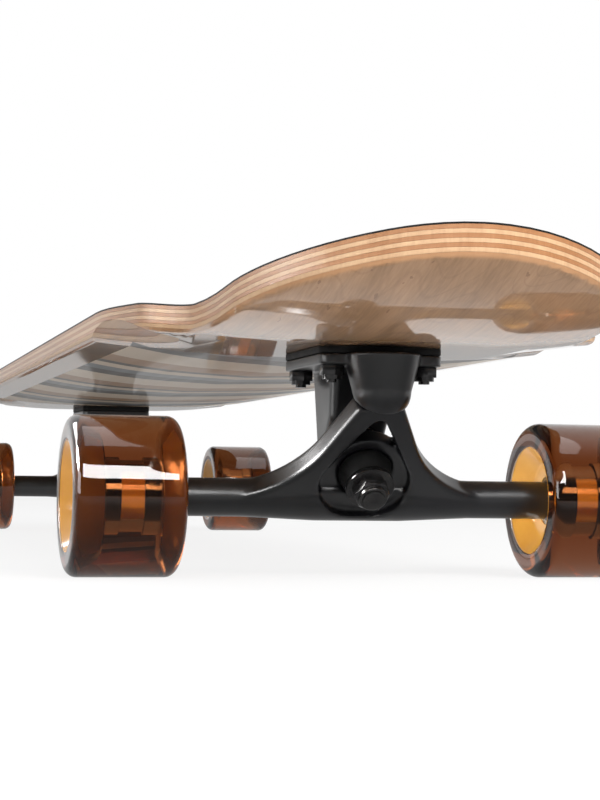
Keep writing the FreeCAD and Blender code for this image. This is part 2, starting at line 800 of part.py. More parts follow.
def wheel_core():
    """Wheel core: bearing seats, a shoulder between them, and a dish on both sides."""
    outside = [(place, radius, 0) for place, radius in reversed(core_outside())]
    near_face = wheel_middle - wheel_width / 2 + core_dish_inset
    far_face = wheel_middle + wheel_width / 2 - core_dish_inset
    near_hub = inner_race - core_lip
    far_hub = outer_race + bearing_width + core_lip
    seat = bearing_outer_radius + stack_gap
    shoulder = bearing_outer_radius - core_shoulder_height
    near_shoulder = inner_race + bearing_width + stack_gap
    far_shoulder = outer_race - stack_gap
    inside = [
        (near_face, core_dish_radius, 0),
        (near_hub, core_hub_radius, 0),
        (near_hub, seat, 0),
        (near_shoulder, seat, 0),
        (near_shoulder, shoulder, 0),
        (far_shoulder, shoulder, 0),
        (far_shoulder, seat, 0),
        (far_hub, seat, 0),
        (far_hub, core_hub_radius, 0),
        (far_face, core_dish_radius, 0)]
    return turned(outside + inside)


def wheel_tyre():
    """Soft urethane tyre, cast around the core."""
    near_face = wheel_middle - wheel_width / 2
    far_face = wheel_middle + wheel_width / 2
    lining = [(place, radius + stack_gap, 0) for place, radius in core_outside()]
    outside = [
        (far_face, wheel_face_radius + stack_gap, 0),
        (far_face, wheel_radius, wheel_edge_radius),
        (near_face, wheel_radius, wheel_edge_radius),
        (near_face, wheel_face_radius + stack_gap, 0)]
    return turned(lining + outside)


def one_wheel():
    """Pieces that one wheel holds, drawn on the left end of an axle at the origin."""
    races = (inner_race, outer_race)
    shields = [shield for start in races for shield in bearing_shields(start)]
    balls = [ball for start in races for ball in bearing_balls(start)]
    return {
        "tyre": wheel_tyre(),
        "core": wheel_core(),
        "bearing_outer_rings": Part.makeCompound([bearing_outer_ring(start) for start in races]),
        "bearing_shields": Part.makeCompound(shields),
        "bearing_balls": Part.makeCompound(balls)}


def front_truck():
    """Pieces of the front truck that stay with the deck or the hanger."""
    inner_rings = [bearing_inner_ring(inner_race), bearing_inner_ring(outer_race)]
    return {
        "riser_pad": front_riser(),
        "baseplate": front_baseplate(),
        "pivot_cup": front_pivot_cup(),
        "kingpin": front_kingpin(),
        "kingpin_nut": front_kingpin_nut(),
        "kingpin_washers": front_kingpin_washers(),
        "boardside_bushing": bushing(back_seat, seat_to_tower, boardside_bushing_height),
        "roadside_bushing": bushing(front_seat, road_washer_start, roadside_bushing_height),
        "hanger": front_hanger(),
        "axle": front_axle(),
        "axle_nuts": axle_pieces([axle_nut()]),
        "speed_washers": axle_pieces(speed_washers()),
        "bearing_inner_rings": axle_pieces(inner_rings),
        "bearing_spacers": axle_pieces([bearing_spacer()])}


def whole_board():
    """Every piece of the board by its name."""
    pieces = deck_layers()
    pieces["deck_bolts"] = deck_bolts()
    pieces["deck_lock_nuts"] = deck_lock_nuts()
    for name, shape in front_truck().items():
        pieces["front_" + name] = shape
        pieces["rear_" + name] = to_rear(shape)
    corners = (
        ("front_left", 0, 1),
        ("front_right", 180, 1),
        ("rear_left", 0, -1),
        ("rear_right", 180, -1))
    for name, shape in one_wheel().items():
        for corner, turn, x in corners:
            placed = shape.copy()
            placed.rotate(origin, upward, turn)
            placed.translate(Vector(x * axle_x, 0, wheel_radius))
            pieces[corner + "_" + name] = placed
    return pieces


os.makedirs("parts", exist_ok=True)
for piece_name, piece_shape in whole_board().items():
    piece_shape.exportStep("parts/%s.step" % piece_name)
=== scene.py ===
import bpy
import json
import math
from mathutils import Matrix, Vector


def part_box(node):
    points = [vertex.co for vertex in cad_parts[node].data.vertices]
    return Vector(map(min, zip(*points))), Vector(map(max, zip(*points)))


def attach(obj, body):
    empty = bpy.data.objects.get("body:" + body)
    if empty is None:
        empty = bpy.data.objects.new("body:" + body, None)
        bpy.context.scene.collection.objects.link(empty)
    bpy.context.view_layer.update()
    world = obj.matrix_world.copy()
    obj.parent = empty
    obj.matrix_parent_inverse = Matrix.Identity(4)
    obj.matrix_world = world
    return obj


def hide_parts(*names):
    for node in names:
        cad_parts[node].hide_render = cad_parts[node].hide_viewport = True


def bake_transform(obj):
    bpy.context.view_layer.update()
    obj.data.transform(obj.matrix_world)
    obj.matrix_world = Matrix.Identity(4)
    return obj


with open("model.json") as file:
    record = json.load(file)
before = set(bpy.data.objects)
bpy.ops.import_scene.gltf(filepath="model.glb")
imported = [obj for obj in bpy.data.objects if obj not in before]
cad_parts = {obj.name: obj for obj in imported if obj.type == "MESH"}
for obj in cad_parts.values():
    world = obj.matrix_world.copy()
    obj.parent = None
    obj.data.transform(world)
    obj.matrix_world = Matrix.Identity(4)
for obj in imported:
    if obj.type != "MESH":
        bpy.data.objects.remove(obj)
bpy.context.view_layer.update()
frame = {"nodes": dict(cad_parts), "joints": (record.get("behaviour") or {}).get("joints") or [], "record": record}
nodes = frame["nodes"]
bodies = frame["record"]["behaviour"]["bodies"]
body_of_node = {node: body for body, names in bodies.items() for node in names}
slot_of_node = {entry["node"]: entry["material_slot"] for entry in frame["record"]["subparts"]}
truck_ends = ("front", "rear")
wheel_corners = ("front_left", "front_right", "rear_left", "rear_right")

# Camera, in metres and degrees
camera_place = Vector((1.189, -0.231, 0.043))
camera_yaw = math.radians(-14.07)
camera_pitch = math.radians(2.40)
camera_roll = math.radians(0.74)
camera_lens = 85.6

# Distance from a lamp to its twin for reflections, in metres
shine_setback = 0.03

# Truck places, in metres
axle_low, axle_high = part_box("front_axle")
axle_middle = (axle_low + axle_high) / 2
joints = {joint["name"]: joint for joint in frame["joints"]}
steer_axis = Vector(joints["front_steer"]["axis"])
if steer_axis.z < 0:
    steer_axis.negate()
kingpin_axis = Vector((0, 1, 0)).cross(steer_axis)
kingpin_height = 0.018
kingpin_place = axle_middle + steer_axis * kingpin_height
half_turn = Matrix.Rotation(math.pi, 4, "Z")


def place_camera():
    """Camera low in front of the nose, as in the photograph."""
    forward = Vector((-math.cos(camera_yaw), -math.sin(camera_yaw), 0))
    right = Vector((-math.sin(camera_yaw), math.cos(camera_yaw), 0))
    upright = Vector((0, 0, 1))
    ahead = math.cos(camera_pitch) * forward + math.sin(camera_pitch) * upright
    above = math.cos(camera_pitch) * upright - math.sin(camera_pitch) * forward
    side = math.cos(camera_roll) * right + math.sin(camera_roll) * above
    top = math.cos(camera_roll) * above - math.sin(camera_roll) * right
    data = bpy.data.cameras.new("photo_camera")
    data.lens = camera_lens
    data.clip_start = 0.01
    camera = bpy.data.objects.new("photo_camera", data)
    bpy.context.collection.objects.link(camera)
    turn = Matrix((side, top, -ahead)).transposed().to_4x4()
    camera.matrix_world = Matrix.Translation(camera_place) @ turn
    bpy.context.scene.camera = camera


def area_lamp(name, width, height, power):
    """Rectangular lamp, not yet placed."""
    data = bpy.data.lights.new(name, "AREA")
    data.shape = "RECTANGLE"
    data.size = width
    data.size_y = height
    data.energy = power
    lamp = bpy.data.objects.new(name, data)
    bpy.context.collection.objects.link(lamp)
    return lamp


def softbox(name, place, target, width, height, power, shine=0):
    """Light that faces a point and shows in reflections only with shine, which a twin behind it adds."""
    aim = (Vector(target) - Vector(place)).normalized()
    lamps = [(name, power, 0)]
    if shine:
        lamps.append((name + "_shine", shine, shine_setback))
    for label, energy, setback in lamps:
        lamp = area_lamp(label, width, height, energy)
        lamp.location = Vector(place) - aim * setback
        lamp.rotation_euler = aim.to_track_quat("-Z", "Y").to_euler()
        lamp.visible_diffuse = setback == 0
        lamp.visible_glossy = shine > 0


def spot(name, place, target, angle, power):
    """Narrow lamp that only lightens matt surfaces round a point."""
    data = bpy.data.lights.new(name, "SPOT")
    data.energy = power
    data.spot_size = math.radians(angle)
    data.spot_blend = 0.4
    data.shadow_soft_size = 0.02
    lamp = bpy.data.objects.new(name, data)
    bpy.context.collection.objects.link(lamp)
    lamp.location = place
    lamp.rotation_euler = (Vector(target) - Vector(place)).to_track_quat("-Z", "Y").to_euler()
    lamp.visible_glossy = False
    lamp.visible_transmission = False


# Material tools


def new_material(name):
    """Node material with its Principled shader."""
    material = bpy.data.materials.new(name)
    material.use_nodes = True
    tree = material.node_tree
    return material, tree, tree.nodes["Principled BSDF"]


def add_node(tree, kind, **settings):
    """Node of a tree with its settings."""
    node = tree.nodes.new(kind)
    for key, value in settings.items():
        setattr(node, key, value)
    return node


def feed(tree, socket, value):
    """Link a socket to another one, or set it to a plain value."""
    if isinstance(value, bpy.types.NodeSocket):
        tree.links.new(value, socket)
    else:
        socket.default_value = value


def sums(tree, operation, first, second=None, third=None):
    """Math node of two or three values."""
    node = add_node(tree, "ShaderNodeMath", operation=operation)
    for socket, value in zip(node.inputs, (first, second, third)):
        if value is not None:
            feed(tree, socket, value)
    return node.outputs[0]


def blended(tree, share, first, second):
    """Mix of two colours."""
    node = add_node(tree, "ShaderNodeMix", data_type="RGBA")
    feed(tree, node.inputs["Factor"], share)
    feed(tree, node.inputs[6], first)
    feed(tree, node.inputs[7], second)
    return node.outputs[2]


def shaded(tree, value, stops, stepped=False):
    """Colours along a value, from (place, colour) stops."""
    node = add_node(tree, "ShaderNodeValToRGB")
    if stepped:
        node.color_ramp.interpolation = "CONSTANT"
    elements = node.color_ramp.elements
    while len(elements) < len(stops):
        elements.new(0.5)
    for element, (place, colour) in zip(elements, stops):
        element.position = place
        element.color = (*colour, 1)
    feed(tree, node.inputs["Fac"], value)
    return node.outputs["Color"]


def object_place(tree):
    """Object coordinates, in metres of the frame."""
    return add_node(tree, "ShaderNodeTexCoord").outputs["Object"]


def split(tree, vector):
    """X, Y and Z of a vector."""
    node = add_node(tree, "ShaderNodeSeparateXYZ")
    tree.links.new(vector, node.inputs["Vector"])
    return node.outputs


def facing(tree):
    """X, Y and Z of the direction that a surface looks in, in object coordinates."""
    return split(tree, add_node(tree, "ShaderNodeTexCoord").outputs["Normal"])


def new_group(name, sockets_in, sockets_out):
    """Empty shader node group with named sockets."""
    tree = bpy.data.node_groups.new(name, "ShaderNodeTree")
    for label, kind in sockets_in:
        tree.interface.new_socket(label, in_out="INPUT", socket_type=kind)
    for label, kind in sockets_out:
        tree.interface.new_socket(label, in_out="OUTPUT", socket_type=kind)
    return tree, add_node(tree, "NodeGroupInput"), add_node(tree, "NodeGroupOutput")


def cloud_group():
    """Noise over stretched coordinates: grain, clouding or fine texture."""
    tree, given, result = new_group(
        "stretched_cloud",
        (("Place", "NodeSocketVector"), ("Stretch", "NodeSocketVector"), ("Detail", "NodeSocketFloat")),
        (("Value", "NodeSocketFloat"),))
    stretch = add_node(tree, "ShaderNodeVectorMath", operation="MULTIPLY")
    noise = add_node(tree, "ShaderNodeTexNoise")
    noise.inputs["Scale"].default_value = 1
    tree.links.new(given.outputs["Place"], stretch.inputs[0])
    tree.links.new(given.outputs["Stretch"], stretch.inputs[1])
    tree.links.new(stretch.outputs["Vector"], noise.inputs["Vector"])
    tree.links.new(given.outputs["Detail"], noise.inputs["Detail"])
    tree.links.new(noise.outputs["Fac"], result.inputs["Value"])
    return tree


def relief_group():
    """Small bumps of a surface, from a height."""
    tree, given, result = new_group(
        "fine_relief",
        (("Height", "NodeSocketFloat"), ("Strength", "NodeSocketFloat"), ("Depth", "NodeSocketFloat")),
        (("Normal", "NodeSocketVector"),))
    lift = add_node(tree, "ShaderNodeBump")
    tree.links.new(given.outputs["Height"], lift.inputs["Height"])
    tree.links.new(given.outputs["Strength"], lift.inputs["Strength"])
    tree.links.new(given.outputs["Depth"], lift.inputs["Distance"])
    tree.links.new(lift.outputs["Normal"], result.inputs["Normal"])
    return tree


cloud_tree = cloud_group()
relief_tree = relief_group()
cloud_low = 0.3
cloud_high = 0.7


def cloud(tree, place, stretch, detail):
    """Value of the stretched cloud in a material."""
    node = add_node(tree, "ShaderNodeGroup", node_tree=cloud_tree)
    tree.links.new(place, node.inputs["Place"])
    node.inputs["Stretch"].default_value = stretch
    node.inputs["Detail"].default_value = detail
    return node.outputs["Value"]


def relief(tree, height, strength, depth):
    """Normal of the fine relief in a material."""
    node = add_node(tree, "ShaderNodeGroup", node_tree=relief_tree)
    tree.links.new(height, node.inputs["Height"])
    node.inputs["Strength"].default_value = strength
    node.inputs["Depth"].default_value = depth
    return node.outputs["Normal"]


def ranged(tree, value, start, end, first, last, kind):
    """Value that goes from one level to another between two places."""
    node = add_node(tree, "ShaderNodeMapRange", interpolation_type=kind)
    feed(tree, node.inputs["Value"], value)
    for label, level in (("From Min", start), ("From Max", end), ("To Min", first), ("To Max", last)):
        node.inputs[label].default_value = level
    return node.outputs["Result"]


def eased(tree, value, start, end, first, last):
    """Value that goes smoothly from one level to another between two places."""
    return ranged(tree, value, start, end, first, last, "SMOOTHSTEP")


def varied_roughness(tree, value, smooth, rough):
    """Roughness that follows a cloud's value."""
    return ranged(tree, value, cloud_low, cloud_high, smooth, rough, "LINEAR")


def set_levels(shader, levels):
    """Give plain values to sockets of a shader."""
    for label, level in levels.items():
        shader.inputs[label].default_value = level


# Finishes: colours are linear, lengths in metres

# Painted glow and painted shade of the wheel core: the wheel's middle, which faces form the sleeve, how much the
# dishes' glow is cut, the shade colour of faces turned to the middle, and no glow
wheel_middle = 0.1055
sleeve_tilt = 0.1
dish_dimming = 0.75
dish_inside_shade = (0.15, 0.06, 0.012, 1)
no_glow = (0, 0, 0, 1)
fleck_level = 0.73
fleck_cover = 0.55
fleck_tone = (0.16, 0.07, 0.03, 1)
ring_lines = 14
ring_width = 0.12
ring_cover = 0.22
ring_tone = (0.19, 0.095, 0.045, 1)
flat_facing = -0.86
round_facing = -0.6
round_cover = 0.75
round_tone = (0.46, 0.23, 0.10, 1)
chevron_slant = -0.7
chevrons_per_metre = 5.2
print_half_length = 0.325
print_half_width = 0.094
print_cover = 0.93
print_lacquer_loss = -0.7
cream_ink = (0.58, 0.48, 0.37)
black_ink = (0.020, 0.019, 0.018)
slate_ink = (0.13, 0.15, 0.16)
brown_ink = (0.30, 0.17, 0.085)


def black_coat():
    """Satin black powder coat with its fine orange peel."""
    material, tree, shader = new_material("black_powder_coat")
    place = object_place(tree)
    peel = cloud(tree, place, (700, 700, 700), 3)
    patch = cloud(tree, place, (45, 45, 45), 4)
    tone = shaded(tree, patch, ((cloud_low, (0.004, 0.004, 0.005)), (cloud_high, (0.007, 0.007, 0.008))))
    tree.links.new(tone, shader.inputs["Base Color"])
    tree.links.new(varied_roughness(tree, patch, 0.28, 0.35), shader.inputs["Roughness"])
    tree.links.new(relief(tree, peel, 0.06, 0.00012), shader.inputs["Normal"])
    shader.inputs["Specular IOR Level"].default_value = 0.75
    return material


def black_hardware():
    """Blackened steel of the fasteners, rubbed a little brighter in places."""
    material, tree, shader = new_material("blackened_steel")
    place = object_place(tree)
    rub = cloud(tree, place, (160, 160, 160), 3)
    tone = shaded(tree, rub, ((0.35, (0.045, 0.044, 0.045)), (0.75, (0.090, 0.088, 0.086))))
    tree.links.new(tone, shader.inputs["Base Color"])
    tree.links.new(varied_roughness(tree, rub, 0.15, 0.22), shader.inputs["Roughness"])
    shader.inputs["Metallic"].default_value = 0.9
    return material


def turned_steel(name, low, high, roughness):
    """Bare steel with fine turning marks."""
    material, tree, shader = new_material(name)
    marks = cloud(tree, object_place(tree), (150, 3500, 150), 3)
    tone = shaded(tree, marks, ((cloud_low, low), (cloud_high, high)))
    tree.links.new(tone, shader.inputs["Base Color"])
    worn = varied_roughness(tree, marks, roughness, 1.5 * roughness)
    tree.links.new(worn, shader.inputs["Roughness"])
    shader.inputs["Metallic"].default_value = 1.0
    return material


def rubber(name, tone, roughness):
    """Black rubber or nylon with a faint bloom."""
    material, tree, shader = new_material(name)
    bloom = cloud(tree, object_place(tree), (180, 180, 180), 5)
    colour = shaded(tree, bloom, ((0.35, tone), (0.8, tuple(2 * part for part in tone))))
    tree.links.new(colour, shader.inputs["Base Color"])
    tree.links.new(relief(tree, bloom, 0.15, 0.0003), shader.inputs["Normal"])
    dull = varied_roughness(tree, bloom, roughness, roughness + 0.1)
    tree.links.new(dull, shader.inputs["Roughness"])
    shader.inputs["Specular IOR Level"].default_value = 0.14
    return material


def amber_urethane():
    """Clear root-beer urethane that darkens with its thickness."""
    material, tree, shader = new_material("amber_urethane")
    haze = cloud(tree, object_place(tree), (70, 70, 70), 3)
    tint = shaded(tree, haze, ((cloud_low, (0.96, 0.88, 0.74)), (cloud_high, (0.98, 0.92, 0.80))))
    tree.links.new(tint, shader.inputs["Base Color"])
    set_levels(shader, {"Roughness": 0.015, "IOR": 1.5, "Transmission Weight": 1.0})
    depth = add_node(tree, "ShaderNodeVolumeAbsorption")
    depth.inputs["Color"].default_value = (0.62, 0.37, 0.12, 1)
    depth.inputs["Density"].default_value = 76
    tree.links.new(depth.outputs["Volume"], tree.nodes["Material Output"].inputs["Volume"])
    return material


def turned_inward(tree, place):
    """1 on the faces of a wheel that look towards its middle, 0 elsewhere."""
    across = split(tree, place)["Y"]
    from_middle = sums(tree, "SUBTRACT", sums(tree, "ABSOLUTE", across), wheel_middle)
    outward = sums(tree, "MULTIPLY", sums(tree, "SIGN", across), facing(tree)["Y"])
    return sums(tree, "LESS_THAN", sums(tree, "MULTIPLY", outward, from_middle), 0)


def golden_core():
    """Golden plastic of the wheel core under a glossy skin, with a painted glow that stands in for light let
    through, and painted shade on the faces turned to the middle of the wheel.
    """
    material, tree, shader = new_material("golden_core")
    place = object_place(tree)
    swirl = cloud(tree, place, (80, 80, 80), 4)
    tint = shaded(tree, swirl, ((cloud_low, (0.56, 0.26, 0.035)), (cloud_high, (0.64, 0.32, 0.055))))
    # Painted shade: faces turned to the middle of the wheel are dark brown instead of golden
    tint = blended(tree, turned_inward(tree, place), tint, dish_inside_shade)
    tree.links.new(tint, shader.inputs["Base Color"])
    on_sleeve = sums(tree, "LESS_THAN", sums(tree, "ABSOLUTE", facing(tree)["Y"]), sleeve_tilt)
    # Painted glow: the core emits its own colour, cut down on the dishes
    dim_tint = blended(tree, dish_dimming, tint, no_glow)
    # Painted glow of the sleeve between the bearings, in golden stripes like ribs
    ribs = cloud(tree, place, (220, 6, 220), 1)
    rib_glow = shaded(tree, ribs, ((0.42, (0.10, 0.04, 0.006)), (0.58, (0.85, 0.47, 0.085))))
    glow = blended(tree, on_sleeve, dim_tint, rib_glow)
    tree.links.new(glow, shader.inputs["Emission Color"])
    # Emission Strength sets the painted glow of the core
    set_levels(shader, {
        "Roughness": 0.2, "Emission Strength": 0.6, "Coat Weight": 0.8, "Coat Roughness": 0.03})
    return material


def grain_tone(tree, place, dark, light):
    """Colour, fine grain and broad grain of maple along the board."""
    broad = cloud(tree, place, (5, 150, 40), 6)
    fine = cloud(tree, place, (14, 900, 300), 4)
    both = sums(tree, "MULTIPLY_ADD", fine, 0.4, sums(tree, "MULTIPLY", broad, 0.6))
    return shaded(tree, both, ((0.32, dark), (0.66, light))), fine, broad


def edge_veneer(name, dark, light):
    """Maple veneer whose edge shows in the side of the deck, under clear lacquer."""
    material, tree, shader = new_material(name)
    place = object_place(tree)
    tone, fine, broad = grain_tone(tree, place, dark, light)
    tree.links.new(tone, shader.inputs["Base Color"])
    tree.links.new(relief(tree, fine, 0.08, 0.0001), shader.inputs["Normal"])
    tree.links.new(varied_roughness(tree, broad, 0.38, 0.5), shader.inputs["Roughness"])
    set_levels(shader, {"Coat Weight": 0.25, "Coat Roughness": 0.14, "Specular IOR Level": 0.25})
    return material


def chevrons(tree, place, wood):
    """Broad chevron bands printed on the middle of the underside, and where they lie."""
    parts = split(tree, place)
    out = sums(tree, "ABSOLUTE", parts["Y"])
    length = sums(tree, "ABSOLUTE", parts["X"])
    slant = sums(tree, "MULTIPLY_ADD", out, chevron_slant, parts["X"])
    band = sums(tree, "FRACT", sums(tree, "MULTIPLY", slant, chevrons_per_metre))
    ink = shaded(tree, band, (
        (0.0, cream_ink), (0.30, black_ink), (0.46, slate_ink),
        (0.60, cream_ink), (0.72, black_ink), (0.80, brown_ink)), True)
    inside_length = sums(tree, "LESS_THAN", length, print_half_length)
    inside_width = sums(tree, "LESS_THAN", out, print_half_width)
    inside = sums(tree, "MULTIPLY", inside_length, inside_width)
    return blended(tree, sums(tree, "MULTIPLY", inside, print_cover), wood, ink), inside


def face_veneer():
    """Glossy maple face of the underside: flecks, growth rings, warm rounded edge, printed bands."""
    material, tree, shader = new_material("face_veneer")
    place = object_place(tree)
    wood, _, broad = grain_tone(tree, place, (0.26, 0.145, 0.070), (0.41, 0.24, 0.130))
    fleck = cloud(tree, place, (26, 210, 210), 2)
    streak = sums(tree, "MULTIPLY", sums(tree, "GREATER_THAN", fleck, fleck_level), fleck_cover)
    wood = blended(tree, streak, wood, fleck_tone)
    rings = cloud(tree, place, (3.5, 30, 30), 1)
    ring = sums(tree, "PINGPONG", sums(tree, "MULTIPLY", rings, ring_lines), 0.5)
    line = eased(tree, ring, 0.0, ring_width, ring_cover, 0.0)
    wood = blended(tree, line, wood, ring_tone)
    rounded = eased(tree, facing(tree)["Z"], flat_facing, round_facing, 0.0, round_cover)
    wood = blended(tree, rounded, wood, round_tone)
    colour, print_area = chevrons(tree, place, wood)
    tree.links.new(colour, shader.inputs["Base Color"])
    lacquer = sums(tree, "MULTIPLY_ADD", print_area, print_lacquer_loss, 1.0)
    tree.links.new(lacquer, shader.inputs["Coat Weight"])
    ripple = cloud(tree, place, (9, 26, 26), 2)
    tree.links.new(relief(tree, ripple, 0.05, 0.0016), shader.inputs["Normal"])
    tree.links.new(varied_roughness(tree, broad, 0.4, 0.5), shader.inputs["Roughness"])
    set_levels(shader, {"Specular IOR Level": 0.3, "Coat Roughness": 0.05, "Coat IOR": 1.6})
    return material


def grit():
    """Black grip tape with its sharp grit."""
    material, tree, shader = new_material("grip_grit")
    place = object_place(tree)
    grains = add_node(tree, "ShaderNodeTexVoronoi")
    grains.inputs["Scale"].default_value = 1700
    tree.links.new(place, grains.inputs["Vector"])
    worn = cloud(tree, place, (14, 14, 14), 4)
    speck = sums(tree, "MULTIPLY_ADD", worn, 0.35, grains.outputs["Distance"])
    tone = shaded(tree, speck, ((0.2, (0.022, 0.022, 0.023)), (0.75, (0.004, 0.004, 0.004))))
    tree.links.new(tone, shader.inputs["Base Color"])
    tree.links.new(relief(tree, grains.outputs["Distance"], 0.8, 0.0004), shader.inputs["Normal"])
    set_levels(shader, {"Roughness": 0.85, "Specular IOR Level": 0.2})
    return material


finishes = {
    "face_veneer": face_veneer(),
    "pale_veneer": edge_veneer("pale_veneer", (0.42, 0.25, 0.135), (0.54, 0.35, 0.20)),
    "tan_veneer": edge_veneer("tan_veneer", (0.27, 0.12, 0.048), (0.36, 0.17, 0.075)),
    "grip_tape": grit(),
    "black_coat": black_coat(),
    "black_hardware": black_hardware(),
    "black_rubber": rubber("black_rubber", (0.006, 0.006, 0.006), 0.5),
    "black_plastic": rubber("black_nylon", (0.008, 0.008, 0.009), 0.4),
    "axle_steel": turned_steel("axle_steel", (0.30, 0.30, 0.31), (0.50, 0.50, 0.51), 0.24),
    "bearing_steel": turned_steel("bearing_steel", (0.10, 0.10, 0.10), (0.20, 0.20, 0.20), 0.12),
    "black_shield": rubber("bearing_shield", (0.006, 0.006, 0.007), 0.35),
    "amber_urethane": amber_urethane(),
    "mustard_core": golden_core()}


# Piece tools, with the distances in metres at which points are joined

cad_weld = 0.000005
turned_weld = 0.000002


def dress(piece, finish):
    """Give a piece one finish in place of its own materials."""
    piece.data.materials.clear()
    piece.data.materials.append(finishes[finish])


def alone(piece):
    """Select one piece and nothing else."""
    bpy.ops.object.select_all(action="DESELECT")
    piece.select_set(True)
    bpy.context.view_layer.objects.active = piece


def stand_for(piece, node):
    """Let a piece take a CAD node's place, body and finish."""
    dress(piece, slot_of_node[node])
    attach(piece, body_of_node[node])
    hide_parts(node)


def merged_copy(node, name):
    """Copy of a CAD node as one joined mesh, ready to be worked on."""
    piece = bpy.data.objects.new(name, nodes[node].data.copy())
    bpy.context.collection.objects.link(piece)
    alone(piece)
    bpy.ops.object.mode_set(mode="EDIT")
    bpy.ops.mesh.select_all(action="SELECT")
    bpy.ops.mesh.remove_doubles(threshold=cad_weld)
    bpy.ops.object.mode_set(mode="OBJECT")
    bpy.ops.mesh.customdata_custom_splitnormals_clear()
    return piece


def apply_all(piece):
    """Apply a piece's modifiers in their order."""
    alone(piece)
    for modifier in [entry.name for entry in piece.modifiers]:
        bpy.ops.object.modifier_apply(modifier=modifier)


def cast_piece(node, grain, rounds):
    """Casting over a CAD node: the same body with softly blended corners."""
    piece = merged_copy(node, node + "_casting")
    remesh = piece.modifiers.new("skin", "REMESH")
    remesh.mode = "VOXEL"
    remesh.voxel_size = grain
    soften = piece.modifiers.new("soften", "SMOOTH")
    soften.factor = 0.5
    soften.iterations = rounds
    apply_all(piece)
    bpy.ops.object.shade_smooth()
    stand_for(piece, node)


def smooth_piece(node):
    """Copy of a CAD node with its curved faces shaded smooth."""
    piece = merged_copy(node, node + "_smooth")
    bpy.ops.object.shade_smooth_by_angle(angle=math.radians(30))
    even = piece.modifiers.new("even", "WEIGHTED_NORMAL")
    even.keep_sharp = True
    apply_all(piece)
    stand_for(piece, node)


def bevelled_piece(node, width):
    """Copy of a CAD node with its sharp edges broken."""
    piece = merged_copy(node, node + "_bevelled")
    bpy.ops.object.mode_set(mode="EDIT")
    bpy.ops.mesh.select_all(action="SELECT")
    bpy.ops.mesh.dissolve_limited(angle_limit=math.radians(2))
    bpy.ops.object.mode_set(mode="OBJECT")
    edge = piece.modifiers.new("edge", "BEVEL")
    edge.width = width
    edge.segments = 2
    edge.limit_method = "ANGLE"
    edge.angle_limit = math.radians(40)
    apply_all(piece)
    bpy.ops.object.shade_smooth_by_angle(angle=math.radians(35))
    stand_for(piece, node)


def spun(name, profile, centre, axis, outward, steps):
    """Closed ring turned about an axis from a profile of (along, out) points in metres."""
    points = [centre + axis * along + outward * out for along, out in profile]
    bpy.ops.object.select_all(action="DESELECT")
    bpy.ops.mesh.primitive_plane_add(size=0.001, location=(0, 0, 0))
    piece = bpy.context.object
    piece.name = name
    bpy.ops.object.mode_set(mode="EDIT")
    bpy.ops.mesh.select_all(action="SELECT")
    bpy.ops.mesh.merge(type="CENTER")
    bpy.ops.transform.translate(value=points[0])
    for before, after in zip(points, points[1:] + points[:1]):
        bpy.ops.mesh.extrude_vertices_move(TRANSFORM_OT_translate={"value": after - before})
    bpy.ops.mesh.select_all(action="SELECT")
    bpy.ops.mesh.remove_doubles(threshold=turned_weld)
    bpy.ops.mesh.select_all(action="SELECT")
    bpy.ops.mesh.spin(steps=steps, angle=2 * math.pi, center=centre, axis=axis)
    bpy.ops.mesh.select_all(action="SELECT")
    bpy.ops.mesh.remove_doubles(threshold=turned_weld)
    bpy.ops.mesh.normals_make_consistent(inside=False)
    bpy.ops.object.mode_set(mode="OBJECT")
    bpy.ops.object.shade_smooth_by_angle(angle=math.radians(32))
    return piece


def arc(centre_along, centre_out, radius, start, end, count):
    """Points of a rounded corner of a profile, between two angles in degrees."""
    points = []
    for step in range(count + 1):
        angle = math.radians(start + (end - start) * step / count)
        points.append((centre_along + radius * math.cos(angle), centre_out + radius * math.sin(angle)))
    return points


def copied(piece, name, move):
    """Copy of a piece with its own mesh, moved in its mesh."""
    twin = bpy.data.objects.new(name, piece.data.copy())
    bpy.context.collection.objects.link(twin)
    twin.data.transform(move)
    return twin


# Wheels, drawn on the left end of the front axle with places along Y

wheel_radius = 0.035
tyre_near = 0.08155
tyre_far = 0.12955
tyre_round = 0.005
tyre_lip = 0.0243
lip_round = 0.0006
core_near = 0.08215
core_far = 0.12895
core_rim = 0.0246
dish_edge = 0.0240
hub_near = 0.0904
hub_far = 0.1155
hub_out = 0.0175
bearing_seat = 0.01105
ring_room = 0.0112
shoulder_bore = 0.0103
sleeve_bore = 0.0096
shoulder_near = 0.0977
shoulder_far = 0.1082
lining = 0.0004
wheel_steps = 144

# Golden dish: depth behind its rim or its hub, and radius

rim_front = ((0.0, core_rim), (0.0, dish_edge + 0.0004), (0.0006, dish_edge))
hub_front = (
    (-0.0010, hub_out + 0.0006), (-0.0003, hub_out - 0.0002), (0.0, hub_out - 0.0010),
    (0.0, bearing_seat + 0.0004), (0.0002, bearing_seat))
hub_back = ((0.0008, bearing_seat), (0.0006, hub_out - 0.0008), (-0.0003, hub_out + 0.0010))
rim_back = ((0.0011, dish_edge + 0.0002), (0.0007, core_rim))


